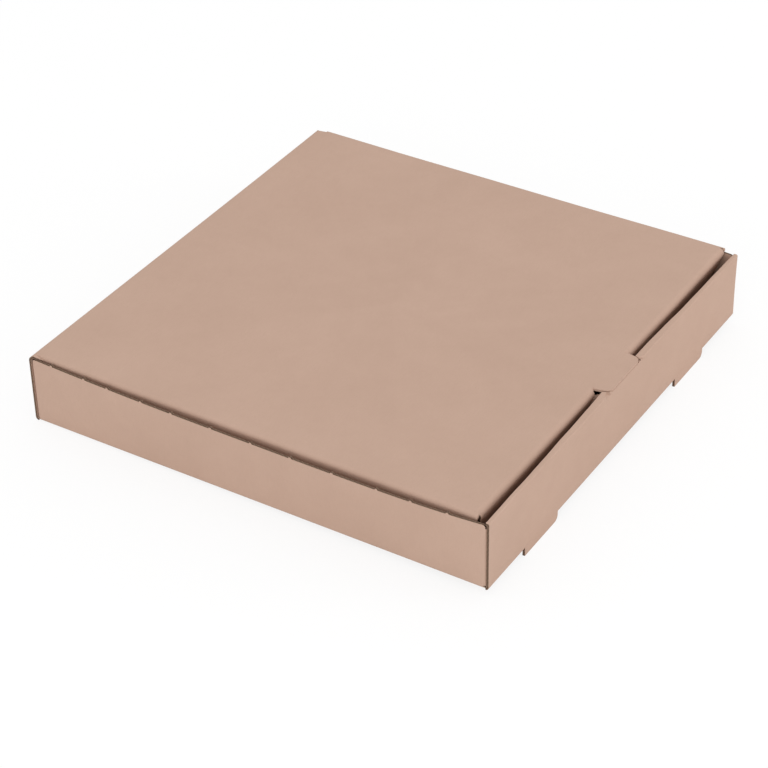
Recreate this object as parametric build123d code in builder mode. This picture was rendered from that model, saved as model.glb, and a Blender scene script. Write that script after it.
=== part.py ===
from build123d import *
import math
import os

# A plain corrugated pizza box, die-cut in one sheet of board and folded without glue. Millimetres,
# +Z up. X runs along the hinge and -Y is the front. The origin is the centre of the base's
# underside, and two locking feet under the front wall reach below it.

# the board
board = 1.5  # thickness
crease_radius = 2.0  # outside radius of the creases round the base and at the tray's corners
fold_radius = 2.6  # outside radius of the lid's folds
hinge_radius = 3.0  # outside radius of the hinge crease
fit_gap = 0.3  # clearance between layers that only meet
layer_play = 0.15  # clearance on each side of a corner flap inside the front wall

# the tray
width = 305.0  # outside, along X
depth = 305.0  # outside, along Y
height = 43.4  # top of the side walls above the base's underside
left_bow = 3.4  # how far the left wall's top edge bellies out in the middle
right_bow = 0.9
corner_flap = 62.0  # reach of a corner flap along X
corner_flap_lead = 9.0  # how much shorter its lower edge is
corner_drop = 2.5  # how far its upper edge stays below the side wall's top
roll_inset = 1.7  # the inner half of the rolled-over top stops this far short of each end
inner_inset = 3.0  # and the inner panel this far
inner_lead = 6.0  # slope of the inner panel's ends
nick_first = 136.0  # Y of the rearmost burr that the sheet's holding points left on a side wall
nick_pitch = 24.0
nick_count = 12
nick_length = 1.3
nick_height = 0.5

# the locking feet, cut out of the base
foot_centers = (-93.8, 90.0)
foot_width = 37.4
foot_reach = 4.3  # below the base's underside
foot_corner = 3.5  # rounding of a foot's right end
lock_play = 2.0  # a locking tab of the inner panel is this much narrower than its slot at each end

# the lid
flap_height = 32.0  # of the three tuck flaps, from the lid's top
flap_lead = 9.0  # how much a tuck flap narrows at each end
slit = 1.5  # between a side flap and the front flap
shoulder = 5.5  # length of full-width lid in front of the hinge crease
hinge_slit = 0.2  # width of the cut between lid and tray in the middle of the hinge crease
tab_center = 3.4  # X of the thumb tab
tab_root = 41.2  # its width at the fold
tab_tip = 37.6  # its width at the tip
tab_corner = 4.5
tab_short = 0.2  # the tip stops this far short of the front wall's outer face
notch_margin = 1.0  # the cut-out in the front flap goes this far past the tab's left end
notch_drop = 10.0  # depth of that cut-out below the lid's top
seat_play = 1.0  # the front wall's recess for the tab is this much wider than it at each end

# what follows from those sizes
half_w = width / 2
half_d = depth / 2
layer_gap = board + 2 * layer_play  # inside the double front wall, which holds the corner flaps
roll_radius = board + layer_gap / 2
under_lid = height + fit_gap
lid_top = under_lid + board
panel_top = lid_top - roll_radius  # the front wall stands level with the lid's top
inner_y = -half_d + board + layer_gap  # outer face of the inner front panel
inner_face = 2 * board + layer_gap  # thickness of the front wall
low_edge = board + fit_gap  # flaps stand clear of the base by the fit gap
corner_y = half_d - board - layer_play  # outer face of the corner flaps
wall_end = corner_y - crease_radius
flap_top = height - corner_drop
slot_depth = foot_reach + crease_radius

bend_y = half_d - hinge_radius
bend_z = lid_top - hinge_radius
hinge_y = half_d - board / 2
hinge_z = lid_top - board / 2
lid_side = half_w - board - fit_gap  # outer face of the lid's side flaps
lid_flat_x = lid_side - fold_radius

# the front flap's lower edge swings forward as the lid opens, so its face is set back until the
# edge clears the inner panel
swing = hinge_y - inner_y - board - fit_gap
drop = hinge_z - lid_top + flap_height
lid_front = hinge_y - math.sqrt(swing**2 - drop**2)
lid_flat_y = lid_front + fold_radius
side_rear = bend_y - shoulder

os.makedirs("parts", exist_ok=True)

# ---- tray ----
with BuildPart() as tray:
    # base, with the creases of the two side walls
    with BuildSketch(Plane.XZ) as base_section:
        with BuildLine() as base_line:
            CenterArc((-half_w + crease_radius, crease_radius), crease_radius, 180, 90)
            Line((-half_w + crease_radius, 0), (half_w - crease_radius, 0))
            CenterArc((half_w - crease_radius, crease_radius), crease_radius, 270, 90)
            offset(amount=board, side=Side.LEFT)
        make_face()
    extrude(amount=half_d - crease_radius, both=True)

    # creases of the front and rear walls
    with BuildSketch(Plane.YZ) as crease_section:
        for start, center_y in ((180, -half_d + crease_radius), (270, half_d - crease_radius)):
            with BuildLine() as crease_line:
                CenterArc((center_y, crease_radius), crease_radius, start, 90)
                offset(amount=board, side=Side.LEFT)
            make_face()
    extrude(amount=half_w, both=True)

    # slots that the feet leave in the base
    with BuildSketch(Plane.XY) as slots:
        for center in foot_centers:
            with Locations((center, -half_d + slot_depth / 2)):
                Rectangle(foot_width, slot_depth)
    extrude(amount=crease_radius, mode=Mode.SUBTRACT)

    # outer panel of the front wall
    with BuildSketch(Plane.XZ.offset(half_d - board)) as front_panel:
        with BuildLine() as front_outline:
            Polyline(
                (-half_w, crease_radius),
                (half_w, crease_radius),
                (half_w, panel_top),
                (-half_w, panel_top),
                close=True,
            )
        make_face()
    extrude(amount=board)

    # its rolled-over top, whose inner half is shorter to pass between the side walls
    for start, reach in ((90, half_w), (0, half_w - roll_inset)):
        with BuildSketch(Plane.YZ) as roll_section:
            with BuildLine() as roll_line:
                CenterArc((-half_d + roll_radius, panel_top), roll_radius, start, 90)
                offset(amount=board, side=Side.LEFT)
            make_face()
        extrude(amount=reach, both=True)

    # its inner panel, with a locking tab over each foot
    with BuildSketch(Plane.XZ.offset(-inner_y - board)) as inner_panel:
        with BuildLine() as inner_outline:
            Polyline(
                (-half_w + roll_inset, panel_top),
                (-half_w + inner_inset, panel_top - inner_lead),
                (-half_w + inner_inset, low_edge),
                (half_w - inner_inset, low_edge),
                (half_w - inner_inset, panel_top - inner_lead),
                (half_w - roll_inset, panel_top),
                close=True,
            )
        make_face()
        for center in foot_centers:
            with Locations((center, low_edge)):
                Rectangle(foot_width - 2 * lock_play, 2 * (low_edge - fit_gap))
    extrude(amount=board)

    # recess in the rolled-over top, where the thumb tab lies level with it
    with BuildSketch(Plane.XY.offset(height)) as seat:
        with Locations((tab_center, -half_d + inner_face / 2)):
            Rectangle(tab_root + 2 * seat_play, inner_face)
    extrude(amount=lid_top - height, mode=Mode.SUBTRACT)

    # rear wall, up to the middle of the hinge crease
    with BuildSketch(Plane.YZ) as rear_section:
        with BuildLine() as rear_line:
            Line((half_d, crease_radius), (half_d, bend_z))
            CenterArc((bend_y, bend_z), hinge_radius, 0, 45)
            offset(amount=board, side=Side.LEFT)
        make_face()
    extrude(amount=half_w, both=True)

    # side walls, straight along the crease and bellied along the top edge
    for side, bow in ((-1, left_bow), (1, right_bow)):
        with BuildSketch(Plane.XY.offset(crease_radius)) as wall_foot:
            with Locations((side * (half_w - board / 2), 0)):
                Rectangle(board, 2 * wall_end)
        with BuildSketch(Plane.XY.offset(height)) as wall_top:
            with BuildLine() as top_outline:
                for face_x in (side * half_w, side * (half_w - board)):
                    ends = ((face_x, -wall_end), (face_x, wall_end))
                    ThreePointArc(ends[0], (face_x + side * bow, 0), ends[1])
                for end_y in (-wall_end, wall_end):
                    Line((side * half_w, end_y), (side * (half_w - board), end_y))
            make_face()
        loft(ruled=True)

        # burrs along the top edge
        with BuildSketch(Plane.XY.offset(height - fit_gap)) as burrs:
            for place in range(nick_count):
                nick_y = nick_first - place * nick_pitch
                nick_bow = bow * (1 - (nick_y / wall_end) ** 2)
                with Locations((side * (half_w - board / 2 + nick_bow), nick_y)):
                    Rectangle(board / 2, nick_length)
        extrude(amount=fit_gap + nick_height)

        # corner flaps, behind the front panel and in front of the rear wall
        for end in (-1, 1):
            turn = 0 if side > 0 and end > 0 else 90 if end > 0 else 180 if side < 0 else 270
            crease_at = (side * (half_w - crease_radius), end * wall_end)
            with BuildSketch(Plane.XY.offset(low_edge)) as corner_crease:
                with BuildLine() as corner_line:
                    CenterArc(crease_at, crease_radius, turn, 90)
                    offset(amount=board, side=Side.LEFT)
                make_face()
            extrude(amount=flap_top - low_edge)
            with BuildSketch(Plane.XZ.offset(-end * corner_y)) as corner_panel:
                with BuildLine() as corner_outline:
                    Polyline(
                        (side * (half_w - crease_radius), flap_top),
                        (side * (half_w - corner_flap), flap_top),
                        (side * (half_w - corner_flap + corner_flap_lead), low_edge),
                        (side * (half_w - crease_radius), low_edge),
                        close=True,
                    )
                make_face()
            extrude(amount=end * board)

    # feet
    with BuildSketch(Plane.XZ.offset(half_d - board)) as feet:
        for center in foot_centers:
            with Locations((center, (crease_radius - foot_reach) / 2)):
                Rectangle(foot_width, crease_radius + foot_reach)
        right_corners = feet.vertices().group_by(Axis.Y)[0].sort_by(Axis.X)[1::2]
        fillet(right_corners, radius=foot_corner)
    extrude(amount=board)

# ---- lid ----
with BuildPart() as lid:
    # panel, with full-width shoulders at the hinge and the thumb tab at the front
    with BuildSketch(Plane.XY.offset(under_lid)) as panel:
        with Locations((0, (lid_flat_y + bend_y) / 2)):
            Rectangle(2 * lid_flat_x, bend_y - lid_flat_y)
        with Locations((0, bend_y - shoulder / 2)):
            Rectangle(width, shoulder)
        with BuildLine() as tab_outline:
            Polyline(
                (tab_center - tab_root / 2, lid_flat_y),
                (tab_center - tab_tip / 2, -half_d + tab_short),
                (tab_center + tab_tip / 2, -half_d + tab_short),
                (tab_center + tab_root / 2, lid_flat_y),
                close=True,
            )
        make_face()
        fillet(panel.vertices().group_by(Axis.Y)[0], radius=tab_corner)
    extrude(amount=board)

    # the upper half of the hinge crease
    with BuildSketch(Plane.YZ) as hinge_section:
        with BuildLine() as hinge_line:
            slit_angle = math.degrees(hinge_slit / hinge_radius)
            CenterArc((bend_y, bend_z), hinge_radius, 45 + slit_angle, 45 - slit_angle)
            offset(amount=board, side=Side.LEFT)
        make_face()
    extrude(amount=half_w, both=True)

    # side flaps, each with its fold
    for side, turn in ((-1, 90), (1, 0)):
        with BuildSketch(Plane.XZ.offset(-side_rear)) as side_fold:
            with BuildLine() as side_fold_line:
                fold_at = (side * lid_flat_x, lid_top - fold_radius)
                CenterArc(fold_at, fold_radius, turn, 90)
                offset(amount=board, side=Side.LEFT)
            make_face()
        extrude(amount=side_rear - lid_flat_y - slit)
        with BuildSketch(Plane.YZ.offset(side * lid_side)) as side_flap:
            with BuildLine() as side_outline:
                Polyline(
                    (lid_flat_y + slit, lid_top - fold_radius),
                    (side_rear, lid_top - fold_radius),
                    (side_rear - flap_lead, lid_top - flap_height),
                    (lid_flat_y + flap_lead, lid_top - flap_height),
                    close=True,
                )
            make_face()
        extrude(amount=-side * board)

    # front flap, whose fold stops at the cut-out round the thumb tab
    notch_left = tab_center - tab_root / 2 - notch_margin
    notch_right = tab_center + tab_root / 2
    for start, stop in ((-lid_flat_x + slit, notch_left), (notch_right, lid_flat_x - slit)):
        with BuildSketch(Plane.YZ.offset(start)) as front_fold:
            with BuildLine() as front_fold_line:
                CenterArc((lid_flat_y, lid_top - fold_radius), fold_radius, 90, 90)
                offset(amount=board, side=Side.LEFT)
            make_face()
        extrude(amount=stop - start)
    with BuildSketch(Plane.XZ.offset(-lid_front - board)) as front_flap:
        with BuildLine() as flap_outline:
            Polyline(
                (-lid_flat_x + slit, lid_top - fold_radius),
                (-lid_flat_x + flap_lead, lid_top - flap_height),
                (lid_flat_x - flap_lead, lid_top - flap_height),
                (lid_flat_x - slit, lid_top - fold_radius),
                (notch_right, lid_top - fold_radius),
                (notch_right - fold_radius, lid_top - notch_drop),
                (notch_left + fold_radius, lid_top - notch_drop),
                (notch_left, lid_top - fold_radius),
                close=True,
            )
        make_face()
    extrude(amount=board)

tray.part.label = "tray"
export_step(tray.part, "parts/tray.step")

lid.part.label = "lid"
export_step(lid.part, "parts/lid.step")
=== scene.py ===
import math

import bpy
import numpy as np
from mathutils import Matrix, Vector, geometry


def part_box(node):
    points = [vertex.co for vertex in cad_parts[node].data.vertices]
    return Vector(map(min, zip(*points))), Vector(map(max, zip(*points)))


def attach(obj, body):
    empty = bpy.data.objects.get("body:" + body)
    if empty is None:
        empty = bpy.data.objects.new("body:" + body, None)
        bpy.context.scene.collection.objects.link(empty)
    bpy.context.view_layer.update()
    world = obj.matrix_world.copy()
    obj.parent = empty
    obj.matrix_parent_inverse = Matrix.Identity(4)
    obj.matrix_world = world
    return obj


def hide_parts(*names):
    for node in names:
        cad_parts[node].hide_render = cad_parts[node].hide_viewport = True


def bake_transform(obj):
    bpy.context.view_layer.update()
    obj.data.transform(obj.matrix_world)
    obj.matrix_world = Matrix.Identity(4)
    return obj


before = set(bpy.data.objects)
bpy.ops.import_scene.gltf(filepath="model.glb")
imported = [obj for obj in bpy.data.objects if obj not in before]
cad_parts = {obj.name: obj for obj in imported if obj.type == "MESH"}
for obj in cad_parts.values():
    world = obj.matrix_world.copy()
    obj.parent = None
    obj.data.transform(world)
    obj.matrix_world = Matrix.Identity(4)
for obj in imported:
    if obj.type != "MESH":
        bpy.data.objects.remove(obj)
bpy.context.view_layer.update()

mm = 1000  # to a metre; sizes are in millimetres where nothing else is said
trayLow, trayHigh = (np.array(corner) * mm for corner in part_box("tray"))
lidLow, lidHigh = (np.array(corner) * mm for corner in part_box("lid"))
print("frame loaded with", len(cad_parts), "nodes")

board = {
    "thickness": 1.5,
    "creaseRadius": 2.0,  # outside radius of the folds round the base
    "cornerRadius": 1.6,  # at the tray's upright corners
    "foldRadius": 2.6,  # at the lid's side flaps
    "frontFoldRadius": 3.6,  # at the lid's front flap
    "hingeRadius": 3.0,
    "flutePitch": 3.2,
}

# how finely the board is divided into faces
net = {
    "step": 6.0,  # on flat panels
    "fineStep": 2.0,  # at the feet and the thumb tab
    "creaseStep": 0.34,  # across a crease
    "rollStep": 0.51,  # round the front wall's roll-over
    "cornerParts": 6,  # in a rounded corner
    "cornerGap": 0.08,  # grid lines keep this far from an outline's corners
    "edgeGap": 0.25,  # and grid points this far from its sides
    "near": 0.01,  # places closer than this count as one
    "merge": 1e-4,  # and closer than this they are joined
    "sharpAngle": 50,  # degrees
}

half = board["thickness"] / 2
quarter = math.pi / 2
halfW, halfD, lidTop = lidHigh[0], trayHigh[1], lidHigh[2]
footReach = -trayLow[2]
bendY = halfD - board["hingeRadius"]  # centre of the hinge's curve
bendZ = lidTop - board["hingeRadius"]


def cutAtGrid(outline, columns, rows):
    # each side of the outline is split where it crosses a grid line
    corners = np.asarray(outline, float)
    pieces = []
    for a, b in zip(corners, np.roll(corners, -1, axis=0)):
        along = b - a
        with np.errstate(divide="ignore", invalid="ignore"):
            share = np.concatenate([(columns - a[0]) / along[0], (rows - a[1]) / along[1]])
        share = share[np.isfinite(share)]
        margin = net["cornerGap"] / np.linalg.norm(along)
        share = np.sort(share[(share > margin) & (share < 1 - margin)])
        share = share[np.diff(share, prepend=-1) > margin]
        pieces.append(a + np.outer(np.concatenate([[0], share]), along))
    return np.vstack(pieces)


def roundCorner(before, corner, after, radius):
    # a circular arc from one side of a corner to the other; its centre lies on the line that halves
    # the corner's angle, at the radius divided by the sine of half that angle
    before, corner, after = (np.asarray(p, float) for p in (before, corner, after))
    a = (before - corner) / np.linalg.norm(before - corner)
    b = (after - corner) / np.linalg.norm(after - corner)
    halfAngle = math.acos(np.clip(a @ b, -1, 1)) / 2
    centre = corner + (a + b) / np.linalg.norm(a + b) * radius / math.sin(halfAngle)
    start = corner + a * radius / math.tan(halfAngle) - centre
    sweep = math.pi - 2 * halfAngle
    sweep = sweep if start[0] * (b - a)[1] - start[1] * (b - a)[0] > 0 else -sweep
    turn = np.linspace(0, sweep, net["cornerParts"] + 1)
    across = np.array([-start[1], start[0]])
    return centre + np.outer(np.cos(turn), start) + np.outer(np.sin(turn), across)


def mirrored(points):
    # right becomes left
    return [(-x, y) for x, y in points]


def insideOutline(points, outline):
    # a point is inside where a line from it to the right crosses the outline an odd number of times
    x, y = points[:, 0:1], points[:, 1:2]
    x1, y1 = outline[:, 0], outline[:, 1]
    x2, y2 = np.roll(x1, -1), np.roll(y1, -1)
    crosses = (y1 > y) != (y2 > y)
    reach = (x2 - x1) * (y - y1) / np.where(y2 == y1, 1, y2 - y1) + x1
    return (crosses & (x < reach)).sum(axis=1) % 2 == 1


def insideBoard(points, outline, holes):
    # inside the outline and outside every hole
    inside = insideOutline(points, outline)
    for hole in holes:
        inside &= ~insideOutline(points, hole)
    return inside


def spread(*stops, step):
    # evenly spaced grid lines, at most one step apart, through each stop
    return np.unique(np.round(np.concatenate([
        np.linspace(a, b, max(2, math.ceil((b - a) / step) + 1)) for a, b in zip(stops, stops[1:])
    ]), 4))


def bothWays(lines):
    # grid lines and their mirror images
    return np.concatenate([-lines, lines])


def makeSlab(outline, holes, columns, rows):
    # a flat board: the outline filled with triangles on a grid, doubled above and below the middle
    # plane, and closed round every cut edge
    columns, rows = np.unique(np.concatenate(columns)), np.unique(np.concatenate(rows))
    outline = cutAtGrid(outline, columns, rows)
    holes = [cutAtGrid(hole, columns, rows) for hole in holes]
    shapes = [outline] + holes
    grid = np.stack(np.meshgrid(columns, rows), axis=-1).reshape(-1, 2)
    keep = np.ones(len(grid), bool)
    for nudge in ((1, 1), (1, -1), (-1, 1), (-1, -1)):
        keep &= insideBoard(grid + np.array(nudge) * net["edgeGap"], outline, holes)
    points = np.vstack(shapes + [grid[keep]])
    first = np.cumsum([0] + [len(shape) for shape in shapes])
    sides = []
    for start, shape in zip(first, shapes):
        index = np.arange(len(shape))
        sides += np.stack([start + index, start + np.roll(index, -1)], axis=1).tolist()
    flat, _, triangles, *_ = geometry.delaunay_2d_cdt(
        [Vector(p) for p in points], sides, [], 1, net["merge"]
    )
    flat = np.array([tuple(v) for v in flat])
    triangles = np.array(triangles)
    triangles = triangles[insideBoard(flat[triangles].mean(axis=1), outline, holes)]
    a, b, c = (flat[triangles[:, i]] for i in range(3))
    turned = (b - a)[:, 0] * (c - a)[:, 1] - (b - a)[:, 1] * (c - a)[:, 0] < 0
    triangles[turned] = triangles[turned][:, ::-1]

    # an edge that only one triangle uses is a cut edge
    edges = np.vstack([triangles[:, [0, 1]], triangles[:, [1, 2]], triangles[:, [2, 0]]])
    key = np.sort(edges, axis=1)
    _, back, count = np.unique(key, axis=0, return_inverse=True, return_counts=True)
    cut = edges[count[back.ravel()] == 1]
    total = len(flat)
    return {
        "flat": np.vstack([flat, flat]),
        "points": np.column_stack([np.vstack([flat, flat]), np.repeat([half, -half], total)]),
        "faces": triangles.tolist() + (triangles[:, ::-1] + total).tolist(),
        "walls": np.column_stack([cut[:, 1], cut[:, 0], cut[:, 0] + total, cut[:, 1] + total]),
    }


def bend(points, active, rigid, line, outward, up, radius, angle):
    # material past the crease line follows an arc of the given radius at the board's middle plane,
    # and then runs on straight in the turned direction; rigid material only turns
    line, outward, up = (np.asarray(v, float) for v in (line, outward, up))
    past = (points - line) @ outward
    lift = (points - line) @ up
    turn = np.where(rigid, angle, np.clip(past / radius, 0, angle))
    rest = past - turn * radius
    newPast = (radius - lift) * np.sin(turn) + rest * np.cos(turn)
    newLift = radius - (radius - lift) * np.cos(turn) + rest * np.sin(turn)
    moved = points + np.outer(newPast - past, outward) + np.outer(newLift - lift, up)
    use = active & ((past > 0) | rigid)
    return np.where(use[:, None], moved, points)


def wave(*terms):
    # a smooth irregular line: a sum of sines, each given by its height, length and shift
    def line(s):
        return sum(h * np.sin(2 * math.pi * (s / length + shift)) for h, length, shift in terms)
    return line


class Wire:
    # one output inside a material; sums, differences and products add Math nodes
    def __init__(self, nodes, socket):
        self.nodes, self.socket = nodes, socket

    def math(self, operation, first, second=None):
        values = {"i0": first} if second is None else {"i0": first, "i1": second}
        return self.nodes.add("Math", {"operation": operation}, **values)

    def __add__(self, other): return self.math("ADD", self, other)
    def __radd__(self, other): return self.math("ADD", other, self)
    def __sub__(self, other): return self.math("SUBTRACT", self, other)
    def __rsub__(self, other): return self.math("SUBTRACT", other, self)
    def __mul__(self, other): return self.math("MULTIPLY", self, other)
    def __rmul__(self, other): return self.math("MULTIPLY", other, self)
    def sine(self): return self.math("SINE", self)
    def size(self): return self.math("ABSOLUTE", self)
    def above(self, other): return self.math("GREATER_THAN", self, other)
    def below(self, other): return self.math("LESS_THAN", self, other)
    def larger(self, other): return self.math("MAXIMUM", self, other)
    def smaller(self, other): return self.math("MINIMUM", self, other)
    def beside(self, place): return Wire(self.nodes, self.socket.node.outputs[place])


class Nodes:
    # the node tree of a material or a world
    def __init__(self, owner, shader):
        owner.use_nodes = True
        self.owner, self.tree = owner, owner.node_tree
        self.shader = self.tree.nodes[shader]

    # a socket takes a link or a plain value
    def feed(self, socket, value):
        if isinstance(value, Wire):
            self.tree.links.new(value.socket, socket)
        else:
            socket.default_value = value

    # the same for the shader's sockets, by name
    def shade(self, values):
        for key, value in values.items():
            self.feed(self.shader.inputs[key], value)

    def add(self, kind, settings=None, output=0, **values):
        # a node of any kind; its sockets are given by name, or as i and their number
        node = self.tree.nodes.new("ShaderNode" + kind)
        for key, value in (settings or {}).items():
            setattr(node, key, value)
        for key, value in values.items():
            self.feed(node.inputs[int(key[1:]) if key[1:].isdigit() else key], value)
        return Wire(self, node.outputs[output])

    def mix(self, share, first, second):
        return self.add("Mix", {"data_type": "RGBA"}, output=2, i0=share, i6=first, i7=second)

    def noise(self, vector, scale, detail, rough):
        # cloudy values from 0 to 1 about a mean of a half
        return self.add("TexNoise", Vector=vector, Scale=scale, Detail=detail, Roughness=rough)


kraft = {
    "colour": (0.540, 0.369, 0.284, 1),
    "darker": (0.480, 0.321, 0.247, 1),  # cloudy patches
    "lighter": (0.595, 0.412, 0.326, 1),
    "clouding": 0.40,  # share of the cloudy colour
    "cloudDepth": 1.6,
    "patchDepth": 0.9,
    "streakDepth": 0.55,
    "fibreDepth": 0.5,
    "fibreShare": 0.12,
    "fleck": (0.330, 0.205, 0.135, 1),  # bark and dark fibres
    "fleckLevel": 0.36,  # a higher level makes more flecks
    "fleckSharpness": 14.0,
    "fleckDepth": 0.35,
    "fluteBump": 0.10,
    "fibreBump": 0.35,
    "patchBump": 0.5,
    "bump": (0.22, 0.0002),  # strength, and depth in metres
    "roughness": 0.86,
    "fibreRoughness": 0.12,
    "specular": 0.25,
}


def kraftLiner():
    # paper colour clouded by two noises, with long fibres, small flecks and the faint washboard of
    # the flutes underneath; the sheet's own map is in decimetres
    n = Nodes(bpy.data.materials.new("kraft_liner"), "Principled BSDF")
    sheet = n.add("UVMap", {"uv_map": "Sheet"})
    down = n.add("SeparateXYZ", output=1, i0=sheet)
    cloud = n.noise(sheet, scale=1.6, detail=4.0, rough=0.6) - 0.5
    patch = n.noise(sheet, scale=7.0, detail=5.0, rough=0.65) - 0.5
    streakMap = n.add("Mapping", Vector=sheet, Scale=(18.0, 120.0, 1.0))
    streak = n.noise(streakMap, scale=1.0, detail=3.0, rough=0.6) - 0.5
    fibreMap = n.add("Mapping", Vector=sheet, Scale=(60.0, 260.0, 1.0))
    fibre = n.noise(fibreMap, scale=1.0, detail=4.0, rough=0.7) - 0.5
    speck = n.noise(sheet, scale=190.0, detail=2.0, rough=0.5)

    clouds = cloud * kraft["cloudDepth"] + patch * kraft["patchDepth"] + 0.5
    cloudy = n.mix(clouds, kraft["darker"], kraft["lighter"])
    colour = n.mix(kraft["clouding"], kraft["colour"], cloudy)
    fibres = streak * kraft["streakDepth"] + fibre * kraft["fibreDepth"] + kraft["fibreShare"]
    colour = n.mix(fibres, colour, kraft["darker"])
    flecks = ((kraft["fleckLevel"] - speck) * kraft["fleckSharpness"]).smaller(1.0).larger(0.0)
    colour = n.mix(flecks * kraft["fleckDepth"], colour, kraft["fleck"])
    flute = (down * (2 * math.pi * 100 / board["flutePitch"])).sine()
    height = flute * kraft["fluteBump"] + fibre * kraft["fibreBump"] + patch * kraft["patchBump"]
    strength, distance = kraft["bump"]
    bump = n.add("Bump", Height=height, Strength=strength, Distance=distance)
    roughness = kraft["roughness"] - fibre * kraft["fibreRoughness"]
    n.shade({"Base Color": colour, "Roughness": roughness, "Normal": bump})
    n.shade({"Specular IOR Level": kraft["specular"]})
    return n.owner


cutEdge = {
    "fluteHeight": 0.34,  # half the wave's height, as a share of the board's thickness
    "paper": 0.11,  # half the thickness of the wave's paper, as such a share
    "liner": 0.36,  # the liners start this far from the middle
    "hollowShade": (0.110, 0.066, 0.043, 1),  # painted shade: the hollows between the flutes, dark only from the shade that falls in them
    # darker than the liner partly by the cut paper's own tone and partly by painted shade
    "shadedCutPaper": (0.240, 0.160, 0.112, 1),
    "grainLevel": 0.4,
    "grainDepth": 0.8,
    "roughness": 0.92,
    "specular": 0.2,
}


def kraftCutEdge():
    # two liners with the wave of the fluted paper between them, over hollows filled with painted
    # shade, and the cut paper darker than the liner partly by its own tone and partly by painted
    # shade; the edge's own map runs in millimetres along it and from 0 to 1 across it
    n = Nodes(bpy.data.materials.new("kraft_cut_edge"), "Principled BSDF")
    along = n.add("SeparateXYZ", i0=n.add("UVMap", {"uv_map": "CutEdge"}))
    across = along.beside(1)
    turn = along * (2 * math.pi / board["flutePitch"])
    paper = (across - (turn.sine() * cutEdge["fluteHeight"] + 0.5)).size().below(cutEdge["paper"])
    liner = (across - 0.5).size().above(cutEdge["liner"])
    grain = n.noise(n.add("TexCoord", output="Object"), scale=900.0, detail=3.0, rough=0.6)
    # paper and liner stripes take the darkened cut paper colour, and everywhere else is painted
    # hollow shade
    colour = n.mix(paper.larger(liner), cutEdge["hollowShade"], cutEdge["shadedCutPaper"])
    # random grain darkens the edge towards the painted hollow shade colour
    grains = (grain - cutEdge["grainLevel"]) * cutEdge["grainDepth"]
    n.shade({"Base Color": n.mix(grains, colour, cutEdge["hollowShade"])})
    n.shade({"Roughness": cutEdge["roughness"], "Specular IOR Level": cutEdge["specular"]})
    return n.owner


linerMaterial = kraftLiner()
edgeMaterial = kraftCutEdge()
print("materials made")


def meshFromSlab(name, slab, points, crushed=()):
    # top, bottom and cut edges in one closed mesh, with the flat sheet's own coordinates as one UV
    # map and distance along and across the cut edge as another; cut edges inside a crushed box of
    # the flat sheet, given by its low and high corner, are shut and keep the liner's colour
    mesh = bpy.data.meshes.new(name)
    walls = slab["walls"]
    faces = slab["faces"] + walls.tolist()
    mesh.from_pydata((points / mm).tolist(), [], faces)
    corner = np.zeros(len(mesh.loops), np.int32)
    mesh.loops.foreach_get("vertex_index", corner)
    place = slab["flat"][corner]
    sheetMap = mesh.uv_layers.new(name="Sheet")
    sheetMap.data.foreach_set("uv", (place / 100).astype(np.float32).ravel())

    # the length along a cut edge is x, or y where both ends have the same x
    ends = slab["flat"][walls[:, :2], 0]
    axis = np.where(np.abs(ends[:, 1] - ends[:, 0]) > net["near"] / 10, 0, 1)
    wallPlace = place[-4 * len(walls):].reshape(-1, 4, 2)
    edge = np.zeros((len(corner), 2))
    edge[-4 * len(walls):, 0] = wallPlace[np.arange(len(walls)), :, axis].ravel()
    edge[-4 * len(walls):, 1] = np.tile([1, 1, 0, 0], len(walls))
    edgeMap = mesh.uv_layers.new(name="CutEdge")
    edgeMap.data.foreach_set("uv", edge.astype(np.float32).ravel())

    for material in (linerMaterial, edgeMaterial):
        mesh.materials.append(material)
    middle = slab["flat"][walls].mean(axis=1)
    openEdge = np.ones(len(walls), bool)
    for low, high in crushed:
        openEdge &= ~((middle > low) & (middle < high)).all(axis=1)
    index = np.concatenate([np.zeros(len(slab["faces"])), openEdge]).astype(np.int32)
    mesh.polygons.foreach_set("material_index", index)
    mesh.polygons.foreach_set("use_smooth", np.ones(len(faces), bool))
    mesh.update()
    mesh.set_sharp_from_angle(angle=math.radians(net["sharpAngle"]))
    mesh.validate()
    obj = bpy.data.objects.new(name, mesh)
    bpy.context.scene.collection.objects.link(obj)
    print(name, "made of", len(mesh.polygons), "faces")
    return obj


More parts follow.
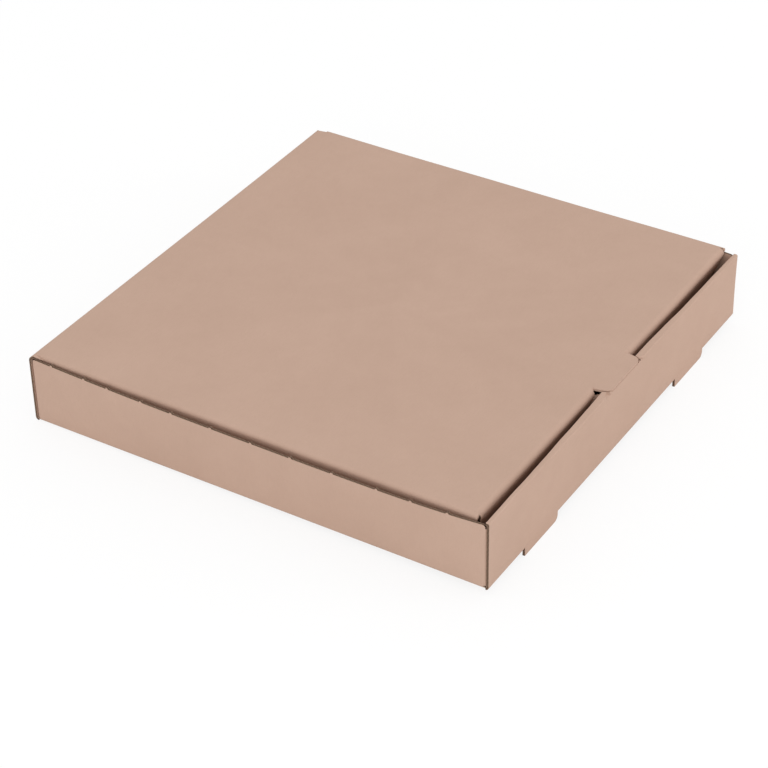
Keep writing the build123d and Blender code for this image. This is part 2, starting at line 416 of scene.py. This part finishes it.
tray = {
    "height": 43.4,  # top of the side walls
    "slit": 0.1,  # between two walls at a corner of the base
    "slitPoint": 0.08,
    "endGap": 0.15,  # between a side wall's end and the front or rear wall
    "wallCorner": 1.2,  # radius at the ends of the side walls' tops
    "wallOver": 0.4,  # how far that corner runs on past the wall's end
    # the side walls' bellies
    "leftBow": 3.4,
    "rightBow": 3.2,
    "bowPower": (3.2, 0.8),  # of the fall towards the ends, and how much less that is at the rear
    "bowSkew": 0.22,  # the belly is fuller in front
    "bowRise": 1.1,  # power of its growth up the wall
    # corner flaps
    "flapReach": 62.0,
    "flapLead": 9.0,
    "flapLift": 0.3,
    "flapDrop": 2.5,  # below the side walls' tops
    "flapPast": 2.0,  # the corner's bend is over this far past the wall's end
    # double front wall
    "gap": 1.8,
    "frontCorner": 0.6,
    "endInset": 1.7,  # of the rolled-over edge
    "innerInset": 3.0,
    "innerLead": 6.0,
    "innerGap": 0.3,  # under the inner panel
    "doubleDepth": 6.0,
    "rollSquare": 7.0,  # 2 is a round roll-over
    "crush": (0.50, 1.05),  # how thick the top is pressed, at its ends and at the thumb tab
    "crushLength": 90.0,  # from the tab to the ends' thickness
    "crushFrom": 22.0,  # height where the pressing starts
    "crushRise": 18.0,  # and how much higher it is complete
    "crushEnd": 1.6,  # the ends stay as they are
    "topDrop": 0.2,
    "topEase": 30.0,  # the ripple dies away over this length at the ends
    "rightDip": 0.8,  # the right end is a little lower
    "rightDipLength": 20.0,
    "faceIn": 0.3,
    "frontTopWave": wave((0.28, 150, 0.1), (0.18, 61, 0.4), (0.10, 27, 0.8)),
    "frontFaceWave": wave((0.22, 210, 0.3), (0.12, 83, 0.6)),
    # feet and locking tabs
    "feet": (-93.8, 90.0),
    "footWidth": 37.4,
    "footCorner": 3.5,
    "footLap": 0.02,
    "lockPlay": 2.0,
    # the recess for the thumb tab
    "seatHeight": 43.68,
    "seatInset": 5.4,
    "seatRound": 0.98,
    "seatParts": 6,
    # burrs left by the cutting rule along the left wall's top edge, from the rear
    "nicks": (136, 112, 95, 71, 50, 23, -4, -30, -57, -85, -106, -128),
    "nickWidth": 2.0,
    "nickHeight": 0.8,
}


def footShape(centre, start, end):
    # a rectangle from the start line to the end line, with its last right corner rounded
    a, b = centre - tray["footWidth"] / 2, centre + tray["footWidth"] / 2
    rounded = roundCorner((b, start), (b, end), (a, end), tray["footCorner"])
    return np.array([(a, start), (b, start), *rounded, (a, end)])


def trayBlank():
    # the tray's flat outline; p holds distances from the middle to the right and q those to the
    # front or rear, and a crease takes a quarter of the circle of its middle radius
    t, r = board["thickness"], board["creaseRadius"]
    mid = r - half
    cornerMid = board["cornerRadius"] - half
    rollOuter = t + tray["gap"] / 2
    rollMid = rollOuter - half
    panelTop = lidTop - rollOuter
    x0, y0 = halfW - r, halfD - r  # where the base's creases start
    wallEnd = halfD - t - tray["endGap"] - board["cornerRadius"]
    q = {"crease": y0 + mid * quarter}
    q["roll"] = q["crease"] + panelTop - r
    q["rollEnd"] = q["roll"] + rollMid * math.pi
    q["top"] = (q["roll"] + q["rollEnd"]) / 2
    q["lower"] = q["rollEnd"] + panelTop - t - tray["innerGap"]
    q["rear"] = q["crease"] + bendZ - r
    q["flap"] = wallEnd + cornerMid * quarter + tray["flapReach"] - board["cornerRadius"]
    p = {"crease": x0 + mid * quarter}
    p["top"] = p["crease"] + tray["height"] - r
    p["flapLow"] = p["crease"] + tray["flapLift"]
    p["flapHigh"] = p["top"] - tray["flapDrop"]

    # front: up the right end, over the roll and down the inner panel with its locking tabs
    slit, slitPoint = tray["slit"], tray["slitPoint"]
    inset, inner = halfW - tray["endInset"], halfW - tray["innerInset"]
    front = [
        (x0 + slit, -y0 + slitPoint),
        (halfW, -y0 - slit),
        *roundCorner((halfW, -y0), (halfW, -q["top"]), (inset, -q["top"]), tray["frontCorner"]),
        (inset, -q["top"]),
        (inset, -q["rollEnd"]),
        (inner, -q["rollEnd"] - tray["innerLead"]),
        (inner, -q["lower"]),
    ]
    tabs = []
    reach = tray["footWidth"] / 2 - tray["lockPlay"]
    for centre in sorted(tray["feet"]):
        for side, drop in ((-1, 0), (-1, t), (1, t), (1, 0)):
            tabs.append((centre + side * reach, -q["lower"] - drop))
    rear = [(x0 + slit, y0 - slitPoint), (halfW, y0 + slit), (halfW, q["rear"])]

    # side: along the base, round the corner flap, and the rounded end of the wall's top
    def sideEnd(end):
        over = end * (wallEnd + tray["wallOver"])
        flapCorner = (p["flapHigh"], over)
        return [
            (p["crease"] - slit / 2, end * (y0 - 2 * slit)),
            (p["crease"] - slit / 2, end * wallEnd),
            (p["flapLow"], end * wallEnd),
            (p["flapLow"], end * (q["flap"] - tray["flapLead"])),
            (p["flapHigh"], end * q["flap"]),
            flapCorner,
            *roundCorner(flapCorner, (p["top"], over), (p["top"], 0), tray["wallCorner"]),
        ]

    # a nick is a low flat-topped bump on the left wall's top edge
    nickAlong = np.array([0.5, 0.3, -0.3, -0.5]) * tray["nickWidth"]
    nickRise = np.array([0, 1, 1, 0]) * tray["nickHeight"]
    nickY = (np.array(tray["nicks"])[:, None] + nickAlong).ravel()
    nickX = -p["top"] - np.tile(nickRise, len(tray["nicks"]))
    outline = [
        *sideEnd(-1), *sideEnd(1)[::-1],
        *rear, *mirrored(rear[::-1]),
        *mirrored(sideEnd(1)), *zip(nickX, nickY), *mirrored(sideEnd(-1)[::-1]),
        *mirrored(front), *tabs, *front[::-1],
    ]

    # the feet's tongues leave holes in the base, and the recess for the thumb tab crosses the roll
    # and narrows towards the front face like the tab's tip, along a quarter of an ellipse
    low, high = -q["crease"] - tray["footLap"], -y0 + footReach
    holes = [footShape(centre, low, high) for centre in tray["feet"]]
    level = q["roll"] + tray["seatHeight"] - panelTop
    back = q["rollEnd"] - (tray["seatHeight"] - panelTop)
    share = np.linspace(0, 1, tray["seatParts"])
    narrow = tray["seatInset"] * (1 - np.sqrt(1 - (tray["seatRound"] * share) ** 2))
    seat = np.column_stack([lid["tabRoot"] / 2 - narrow, -back + (back - level) * share])
    holes.append(np.vstack([seat * (1, 1), seat[::-1] * (-1, 1)]) + (lid["tabCentre"], 0))

    columns = [
        spread(-x0, x0, step=net["step"]),
        bothWays(spread(x0, p["crease"], step=net["creaseStep"])),
        bothWays(spread(p["crease"], p["top"], step=net["step"])),
    ]
    rows = [
        spread(-wallEnd, wallEnd, step=net["step"]),
        bothWays(spread(wallEnd, y0, q["crease"], step=net["creaseStep"])),
        bothWays(spread(q["crease"], q["flap"], step=net["step"])),
        -spread(q["roll"], q["rollEnd"], step=net["rollStep"]),
        -spread(q["rollEnd"], q["lower"], step=net["step"]),
    ]
    sizes = {
        "p": p, "q": q, "x0": x0, "y0": y0, "mid": mid, "cornerMid": cornerMid, "rollMid": rollMid,
        "panelTop": panelTop, "wallEnd": wallEnd,
        "seatBox": (holes[-1].min(axis=0) - net["near"], holes[-1].max(axis=0) + net["near"]),
    }
    return makeSlab(outline, holes, columns, rows), sizes


def bellyWalls(points, side, x, y, s):
    # the walls bulge by their bow, times one minus a power of the distance along the wall, times a
    # power of the height
    rise = (points[:, 2] - board["creaseRadius"]) / (tray["height"] - board["creaseRadius"])
    along = points[:, 1] / s["wallEnd"]
    power, change = tray["bowPower"]
    fall = np.abs(along) ** (power - change * np.clip(along, -1, 1))
    belly = np.clip(1 - fall, 0, 1) * np.clip(rise, 0, None) ** tray["bowRise"]
    belly *= 1 - tray["bowSkew"] * along
    bow = np.where(x > 0, tray["rightBow"], -tray["leftBow"])
    points[:, 0] += np.where(side & (np.abs(y) < s["wallEnd"]), bow * belly, 0)


def squareRoll(points, front, s):
    # the roll-over is squarer than a half circle: a point's distance from its centre is divided by
    # the n-th root of the sum of the n-th powers of the direction's sine and cosine
    centre = np.array([-halfD + half + s["rollMid"], s["panelTop"]])
    away = points[:, 1:] - centre
    reach = np.maximum(np.hypot(away[:, 0], away[:, 1]), net["merge"])
    n = tray["rollSquare"]
    swollen = (np.abs(away / reach[:, None]) ** n).sum(axis=1) ** (-1 / n)
    onRoll = front & (away[:, 1] > 0) & (reach < tray["doubleDepth"])
    points[:, 1:] = np.where(onRoll[:, None], centre + away * swollen[:, None], points[:, 1:])


def rippleFront(points, front):
    # the front wall's top edge and face are never quite straight, and its right end dips
    x = points[:, 0]
    level = np.clip(points[:, 2] / lidTop, 0, 1)
    ease = np.clip((halfW - np.abs(x)) / tray["topEase"], 0, 1)
    ripple = (tray["frontTopWave"](x) - tray["topDrop"]) * ease
    ripple -= tray["rightDip"] * np.clip((x - halfW) / tray["rightDipLength"] + 1, 0, 1) ** 2
    points[:, 2] += np.where(front, ripple * level**2, 0)
    push = (tray["frontFaceWave"](x) + tray["faceIn"]) * level * (1 - level) * 2
    points[:, 1] = np.maximum(points[:, 1] + np.where(front, push, 0), -halfD)


def crushFront(points):
    # the double wall's depth is scaled towards its front face, with a smooth step up its height and
    # least near the thumb tab
    x = points[:, 0]
    level = np.clip((points[:, 2] - tray["crushFrom"]) / tray["crushRise"], 0, 1)
    near = np.exp(-(((x - lid["tabCentre"]) / tray["crushLength"]) ** 2))
    thin = tray["crush"][0] + (tray["crush"][1] - tray["crush"][0]) * near
    pressed = 1 - (1 - thin) * level**2 * (3 - 2 * level)
    double = points[:, 1] < -halfD + tray["doubleDepth"]
    double &= np.abs(x) < halfW - tray["crushEnd"]
    squeezed = -halfD + (points[:, 1] + halfD) * pressed
    points[:, 1] = np.where(double, squeezed, points[:, 1])


def makeTray():
    # the flat blank is folded in this order: the roll-over, the corner flaps, then the walls
    slab, s = trayBlank()
    points = slab["points"] + [0, 0, half]
    x, y = slab["flat"].T
    p, q, near = s["p"], s["q"], net["near"]
    side = (np.abs(x) > halfW + near) | ((np.abs(y) < s["y0"] - near) & (np.abs(x) > s["x0"]))
    front = (y < -s["y0"]) & ~side
    rear = (y > s["y0"]) & ~side
    inner = front & (y < -q["rollEnd"])
    corner = side & (np.abs(x) > p["crease"] + near)
    none = np.zeros(len(x), bool)

    # upwards at a crease line on the flat blank
    def fold(points, active, rigid, line, outward, radius, angle=quarter):
        return bend(points, active, rigid, (*line, half), (*outward, 0), (0, 0, 1), radius, angle)

    points = fold(points, front, none, (0, -q["roll"]), (0, -1), s["rollMid"], math.pi)
    for end in (-1, 1):
        mine = corner & (y * end > 0)
        points = fold(points, mine, none, (0, end * s["wallEnd"]), (0, end), s["cornerMid"])
    points = fold(points, front, inner, (0, -s["y0"]), (0, -1), s["mid"])
    points = fold(points, rear, none, (0, s["y0"]), (0, 1), s["mid"])
    for hand in (-1, 1):
        mine = side & (x * hand > 0)
        flap = mine & (np.abs(y) > s["wallEnd"] + tray["flapPast"])
        points = fold(points, mine, flap, (hand * s["x0"], 0), (hand, 0), s["mid"])

    squareRoll(points, front, s)
    bellyWalls(points, side, x, y, s)
    rippleFront(points, front)
    crushFront(points)
    obj = meshFromSlab("folded_tray", slab, points, [s["seatBox"]])
    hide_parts("tray")
    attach(obj, "tray")
    return s


def makeFoot(place, centre, s):
    # a tongue in the plane of the front wall's outer panel, square at its left and rounded at its
    # right; its colour map carries on the panel's
    top, low = board["creaseRadius"] + tray["footLap"], -footReach
    a, b = centre - tray["footWidth"] / 2, centre + tray["footWidth"] / 2
    columns, rows = spread(a, b, step=net["step"]), spread(low, top, step=net["fineStep"])
    slab = makeSlab(footShape(centre, top, low)[::-1], [], [columns], [rows])
    x, y, depth = slab["points"].T
    points = np.column_stack([x, -halfD + half - depth, y])
    slab["flat"] = np.column_stack([x, -s["q"]["crease"] + board["creaseRadius"] - y])
    obj = meshFromSlab("foot_" + place, slab, points)
    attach(obj, "tray")


lid = {
    "sideEdges": (-146.7, 151.3),  # where the flat panel ends
    "frontEdge": -140.5,
    "lean": (12.0, 20.0),  # degrees that the side flaps and the front flap lean inwards
    "flapLead": 9.0,
    "foldRun": 1.15,  # how far a side fold runs on past the panel's corner, in fold radii
    "slit": 0.3,  # between the side and front flaps
    "slitPoint": 0.05,
    "shoulder": 5.5,  # from the hinge to the side flaps
    "shoulderStart": 0.2,
    "cornerTuck": (0.8, 2.5),  # how far the rear corners are pushed in
    "shoulderTuck": 0.6,  # share of that at the shoulder
    "tuckLength": 8.0,
    "rightLift": 1.2,  # the panel's right edge rides up on the wall
    "swell": wave((0.16, 330, 0.2), (0.10, 170, 0.55)),
    "crossSwell": wave((0.12, 290, 0.7), (0.08, 140, 0.1)),
    "swellSkew": 0.3,
    "swellEase": 60.0,  # the panel is level this far before the hinge
    # thumb tab and the front flap's cut-out under it
    "tabCentre": 3.4,
    "tabRoot": 41.2,
    "tabTip": 37.6,
    "tabCorner": 4.5,
    "notchMargin": 1.0,
    "notchStart": 2.2,
    "notchDrop": 12.5,
    # crushed cut edges: at the tab from its left, tip and root, and at the front corners by width,
    # depth and start
    "tabShut": (0.5, 0.1, 2.4),
    "cornerShut": (6.0, 4.0, 1.0),
}


def lidBlank():
    # the lid's flat outline: panel, side flaps, front flap with its cut-out, and thumb tab; a fold
    # takes a quarter of the circle of its middle radius
    r = board["foldRadius"]
    mid, frontMid = r - half, board["frontFoldRadius"] - half
    arc = mid * quarter
    x0 = {hand: abs(edge) for hand, edge in zip((-1, 1), lid["sideEdges"])}
    y0 = lid["frontEdge"]
    rear = bendY - lid["shoulder"]
    straight = lidTop - lidLow[2] - r
    fold = y0 - frontMid * quarter
    low = fold - straight
    slit, point = lid["slit"], lid["slitPoint"]
    run = y0 - r * lid["foldRun"]

    # from the hinge round one side flap, over the run-on fold and the slit, to the front flap's end
    def sideFlap(hand):
        edge, tuck = x0[hand], lid["cornerTuck"][(hand + 1) // 2]
        flapFold, flapLow = edge + arc, edge + arc + straight
        corners = [
            (halfW - tuck, bendY),
            (halfW - tuck * lid["shoulderTuck"], rear),
            (edge + lid["shoulderStart"], rear),
            (flapFold, rear),
            (flapLow, rear - lid["flapLead"]),
            (flapLow, y0 + lid["flapLead"]),
            (flapFold, run),
            (edge + point, run),
            (edge - slit / 2, y0 - point),
            (edge - slit, run),
            (edge - slit, fold),
            (edge - lid["flapLead"], low),
        ]
        return corners if hand > 0 else mirrored(corners[::-1])

    tabLeft, tabRight = (lid["tabCentre"] + s * lid["tabRoot"] / 2 for s in (-1, 1))
    tipLeft, tipRight = (lid["tabCentre"] + s * lid["tabTip"] / 2 for s in (-1, 1))
    tip = lidLow[1]
    notchLeft = tabLeft - lid["notchMargin"]
    notchTop = y0 - lid["notchStart"]
    notchLow = fold - (lid["notchDrop"] - r)
    cutOut = [
        (notchLeft, notchTop),
        (tabLeft, notchTop),
        *roundCorner((tabLeft, y0), (tipLeft, tip), (tipRight, tip), lid["tabCorner"]),
        *roundCorner((tipLeft, tip), (tipRight, tip), (tabRight, y0), lid["tabCorner"]),
        (tabRight - slit, notchTop),
        (tabRight, notchTop),
        (tabRight, fold),
        (tabRight - r, notchLow),
        (notchLeft + r, notchLow),
        (notchLeft, fold),
    ]
    columns = [
        spread(-x0[-1], x0[1], step=net["step"]),
        spread(notchLeft, tabRight, step=net["fineStep"]),
    ]
    for hand in (-1, 1):
        flapFold = x0[hand] + arc
        columns.append(hand * spread(x0[hand], flapFold, step=net["creaseStep"]))
        columns.append(hand * spread(flapFold, flapFold + straight, step=net["step"]))
    rows = [
        spread(y0, bendY, step=net["step"]),
        spread(fold, notchTop, y0, step=net["creaseStep"]),
        spread(low, fold, step=net["step"]),
    ]
    sizes = {
        "x0": x0, "y0": y0, "mid": mid, "frontMid": frontMid, "tip": tip,
        "notchLeft": notchLeft, "tabRight": tabRight,
    }
    return makeSlab(sideFlap(1) + sideFlap(-1), [cutOut], columns, rows), sizes


def lidSwell(points):
    # the panel rises and falls by a fraction of a millimetre, and is level along the hinge
    ease = np.clip((bendY - points[:, 1]) / lid["swellEase"], 0, 1)
    skewed = points[:, 0] + lid["swellSkew"] * points[:, 1]
    return (lid["swell"](skewed) + lid["crossSwell"](points[:, 1])) * ease


def lidLift(points):
    # the lift grows with the square of the distance from the middle to the right edge
    return lid["rightLift"] * np.clip(points[:, 0] / halfW, 0, None) ** 2


def makeLid():
    # the side flaps and the front flap are folded down from the level panel, past a right angle by
    # their lean, and the thumb tab stays level
    slab, s = lidBlank()
    level = lidTop - half
    points = slab["points"] + [0, 0, level]
    x, y = slab["flat"].T
    x0, y0, near = s["x0"], s["y0"], net["near"]
    none = np.zeros(len(x), bool)
    down = (0, 0, -1)
    sideFold, frontFold = (quarter + math.radians(lean) for lean in lid["lean"])
    inTab = (np.abs(x - lid["tabCentre"]) < lid["tabRoot"] / 2) & (x < s["tabRight"] - near)
    inTab &= y > s["tip"] - near
    for hand in (-1, 1):
        mine = (x * hand > x0[hand]) & (y < bendY - lid["shoulder"] + near)
        line = (hand * x0[hand], 0, level)
        points = bend(points, mine, none, line, (hand, 0, 0), down, s["mid"], sideFold)
    front = (y < y0) & (x > lid["slit"] / 2 - x0[-1]) & (x < x0[1] - lid["slit"] / 2) & ~inTab
    line = (0, y0, level)
    points = bend(points, front, none, line, (0, -1, 0), down, s["frontMid"], frontFold)
    points[:, 2] += lidSwell(points) + lidLift(points)

    left, tip, root = lid["tabShut"]
    crushed = [((s["notchLeft"] + left, s["tip"] - tip), (s["tabRight"], y0 - root))]
    width, depth, start = lid["cornerShut"]
    for low in (-x0[-1] - width, x0[1]):
        crushed.append(((low, y0 - depth), (low + width, y0 - start)))
    obj = meshFromSlab("folded_lid", slab, points, crushed)
    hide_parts("lid")
    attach(obj, "lid")


def makeHingeCrease(s):
    # a quarter turn of board between the rear wall's top and the lid, as wide as the box; it takes
    # on the lid's lift and tucked corners as it comes up
    mid = board["hingeRadius"] - half
    length = mid * quarter
    outline = np.array([(-halfW, 0), (halfW, 0), (halfW, length), (-halfW, length)], float)
    columns = spread(-halfW, halfW, step=net["step"])
    slab = makeSlab(outline, [], [columns], [spread(0, length, step=net["creaseStep"])])
    x, y, depth = slab["points"].T
    turn = y / mid
    radius = mid - depth
    points = np.column_stack([x, bendY + radius * np.cos(turn), bendZ + radius * np.sin(turn)])
    share = np.clip(turn / quarter, 0, 1)
    points[:, 2] += lidLift(points) * share
    left, right = lid["cornerTuck"]
    atEnd = np.clip((np.abs(x) - halfW) / lid["tuckLength"] + 1, 0, 1)
    points[:, 0] -= np.where(x > 0, right, -left) * atEnd * share**2
    slab["flat"] = slab["flat"] + [0, s["q"]["rear"]]
    obj = meshFromSlab("hinge_crease", slab, points)
    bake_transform(obj)


traySizes = makeTray()
for place, centre in zip(("left", "right"), tray["feet"]):
    makeFoot(place, centre, traySizes)
makeLid()
makeHingeCrease(traySizes)
print("box folded")

view = {
    "azimuth": -57.67,  # degrees, as the elevation and roll
    "elevation": 35.41,
    "roll": -1.11,
    "distance": 1.4078,  # metres
    "target": (-0.04277, -0.01985, 0.020),
    "lens": 113.4,
    "sensor": 36,
    "clip": (0.05, 50),  # metres
}


def makeCamera():
    # the camera looks at its target from the given direction and distance, and is rolled about its
    # own axis
    a, e, roll = (math.radians(view[k]) for k in ("azimuth", "elevation", "roll"))
    back = Vector((math.sin(a) * math.cos(e), -math.cos(a) * math.cos(e), math.sin(e)))
    right = Vector((math.cos(a), math.sin(a), 0))
    up = back.cross(right)
    right, up = (
        right * math.cos(roll) + up * math.sin(roll),
        up * math.cos(roll) - right * math.sin(roll),
    )
    data = bpy.data.cameras.new("camera")
    data.lens, data.sensor_width = view["lens"], view["sensor"]
    data.clip_start, data.clip_end = view["clip"]
    camera = bpy.data.objects.new("camera", data)
    turn = Matrix((right, up, back)).transposed().to_4x4()
    place = Matrix.Translation(Vector(view["target"]) + back * view["distance"])
    camera.matrix_world = place @ turn
    bpy.context.scene.collection.objects.link(camera)
    bpy.context.scene.camera = camera


# metres and watts
studio = {
    "floorSize": 6.0,
    "floorDrop": 0.0001,
    "floorColour": (0.86, 0.86, 0.86, 1),
    "floorRoughness": 0.9,
    "floorWhite": 0.8,  # share of plain white that the camera sees
    "floorGlow": 1.04,
    "worldStrength": 0.87,
    "lamps": (  # name, place, size, power
        ("front_right_softbox", (1.0, -2.0, 0.55), 0.9, 8.5),
        ("left_softbox", (-2.1, -0.6, 0.9), 1.4, 9.5),
        ("top_softbox", (0.1, 0.2, 2.3), 2.2, 2),
    ),
}


def makeFloor():
    # the box stands on its two feet and its rear bottom edge, so the floor passes through those
    slope = footReach / (2 * halfD)
    mesh = bpy.data.meshes.new("floor")
    corners = np.array([(-1, -1), (1, -1), (1, 1), (-1, 1)]) * studio["floorSize"]
    heights = (corners[:, 1] - halfD / mm) * slope - studio["floorDrop"]
    mesh.from_pydata(np.column_stack([corners, heights]).tolist(), [], [(0, 1, 2, 3)])
    floor = bpy.data.objects.new("floor", mesh)
    bpy.context.scene.collection.objects.link(floor)

    # to the camera the floor is mostly plain white, which still lets a soft shadow show
    n = Nodes(bpy.data.materials.new("studio_floor"), "Principled BSDF")
    n.shade({"Base Color": studio["floorColour"], "Roughness": studio["floorRoughness"]})
    rays = n.add("LightPath", output="Is Camera Ray")
    seen = rays.larger(rays.beside("Is Glossy Ray")).larger(rays.beside("Is Transmission Ray"))
    glow = n.add("Emission", Strength=studio["floorGlow"])
    matt = Wire(n, n.shader.outputs[0])
    mixed = n.add("MixShader", i0=seen * studio["floorWhite"], i1=matt, i2=glow)
    n.feed(n.tree.nodes["Material Output"].inputs["Surface"], mixed)
    mesh.materials.append(n.owner)


def makeLamps():
    # round lamps that face the middle of the box
    for name, place, size, power in studio["lamps"]:
        data = bpy.data.lights.new(name, "AREA")
        data.shape, data.size, data.energy = "DISK", size, power
        lamp = bpy.data.objects.new(name, data)
        lamp.location = place
        lamp.rotation_euler = (-Vector(place)).to_track_quat("-Z", "Y").to_euler()
        bpy.context.scene.collection.objects.link(lamp)


def makeWorld():
    # white to the camera and to reflections, softer as light
    n = Nodes(bpy.data.worlds.new("studio"), "Background")
    bpy.context.scene.world = n.owner
    rays = n.add("LightPath", output="Is Camera Ray")
    seen = rays.larger(rays.beside("Is Glossy Ray"))
    soft = studio["worldStrength"]
    n.shade({"Color": (1, 1, 1, 1), "Strength": seen * (1 - soft) + soft})


makeCamera()
makeFloor()
makeLamps()
makeWorld()
bpy.context.scene.view_settings.view_transform = "Standard"
print("studio made")
